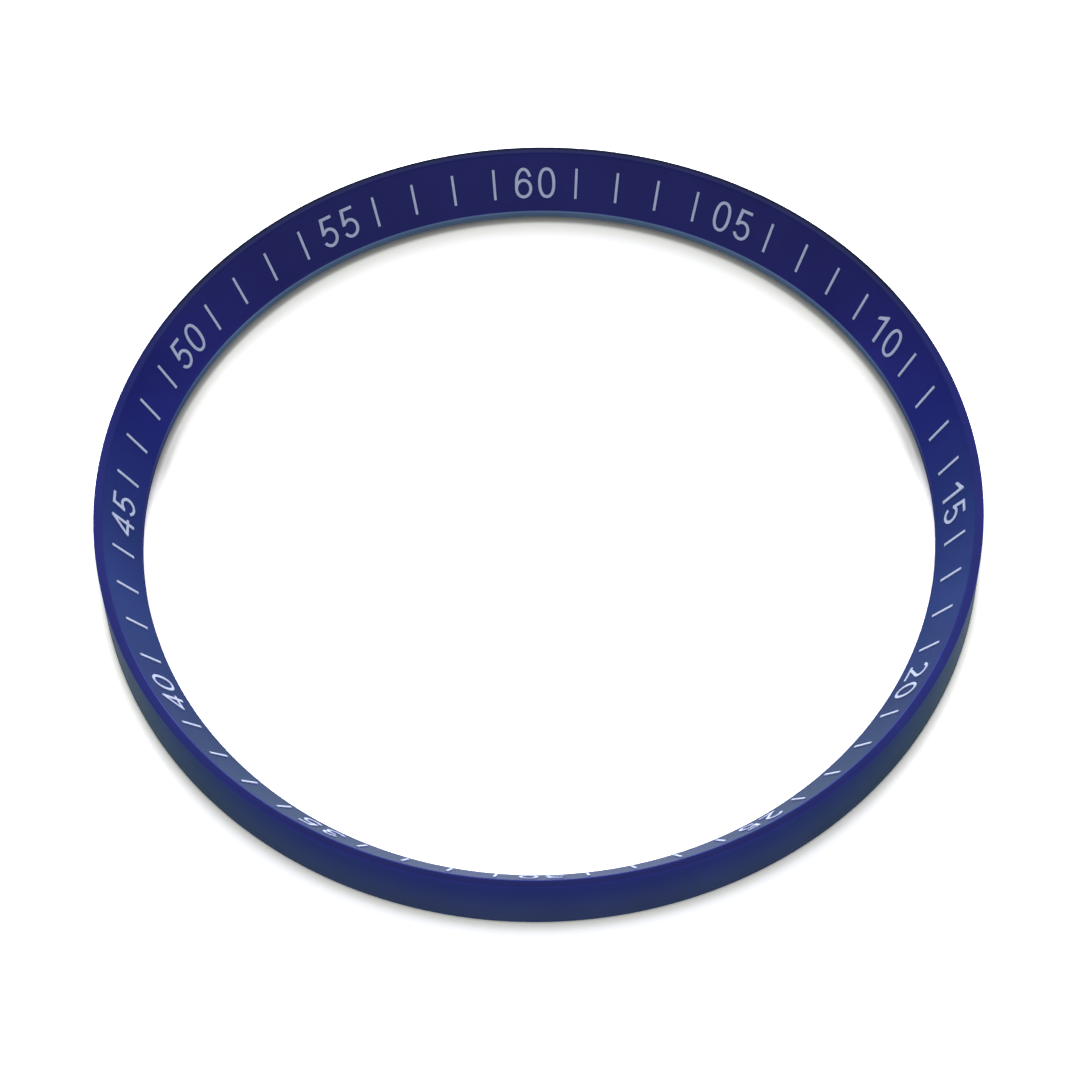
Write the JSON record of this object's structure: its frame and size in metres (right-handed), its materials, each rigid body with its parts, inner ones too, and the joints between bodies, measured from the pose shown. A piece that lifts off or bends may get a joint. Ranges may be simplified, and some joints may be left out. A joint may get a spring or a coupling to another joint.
{
  "type": "watch chapter ring",
  "caption": "Sloped inner ring that stands between a watch's dial and its crystal, with printed minute marks and numerals read from the centre.",
  "frame": {"origin": "centre of the ring's flat base, the face that stands on the dial", "axes": "+Z from the base toward the crystal, along the ring's axis; +Y toward the numeral 60; minutes run clockwise seen from +Z, so the numeral 15 is toward +X"},
  "size_m": [0.0305, 0.0304, 0.0024],
  "materials": {
    "blue_lacquered_brass": "smooth satin dark blue lacquer",
    "pale_printing_ink": "matte pale ink print"
  },
  "bodies": {
    "root": {"chapter_ring": "blue_lacquered_brass", "numeral_05": "pale_printing_ink", "numeral_10": "pale_printing_ink", "numeral_15": "pale_printing_ink", "numeral_20": "pale_printing_ink", "numeral_25": "pale_printing_ink", "numeral_30": "pale_printing_ink", "numeral_35": "pale_printing_ink", "numeral_40": "pale_printing_ink", "numeral_45": "pale_printing_ink", "numeral_50": "pale_printing_ink", "numeral_55": "pale_printing_ink", "numeral_60": "pale_printing_ink", "minutes_01_to_04": "pale_printing_ink", "minutes_06_to_09": "pale_printing_ink", "minutes_11_to_14": "pale_printing_ink", "minutes_16_to_19": "pale_printing_ink", "minutes_21_to_24": "pale_printing_ink", "minutes_26_to_29": "pale_printing_ink", "minutes_31_to_34": "pale_printing_ink", "minutes_36_to_39": "pale_printing_ink", "minutes_41_to_44": "pale_printing_ink", "minutes_46_to_49": "pale_printing_ink", "minutes_51_to_54": "pale_printing_ink", "minutes_56_to_59": "pale_printing_ink"}
  },
  "joints": []
}
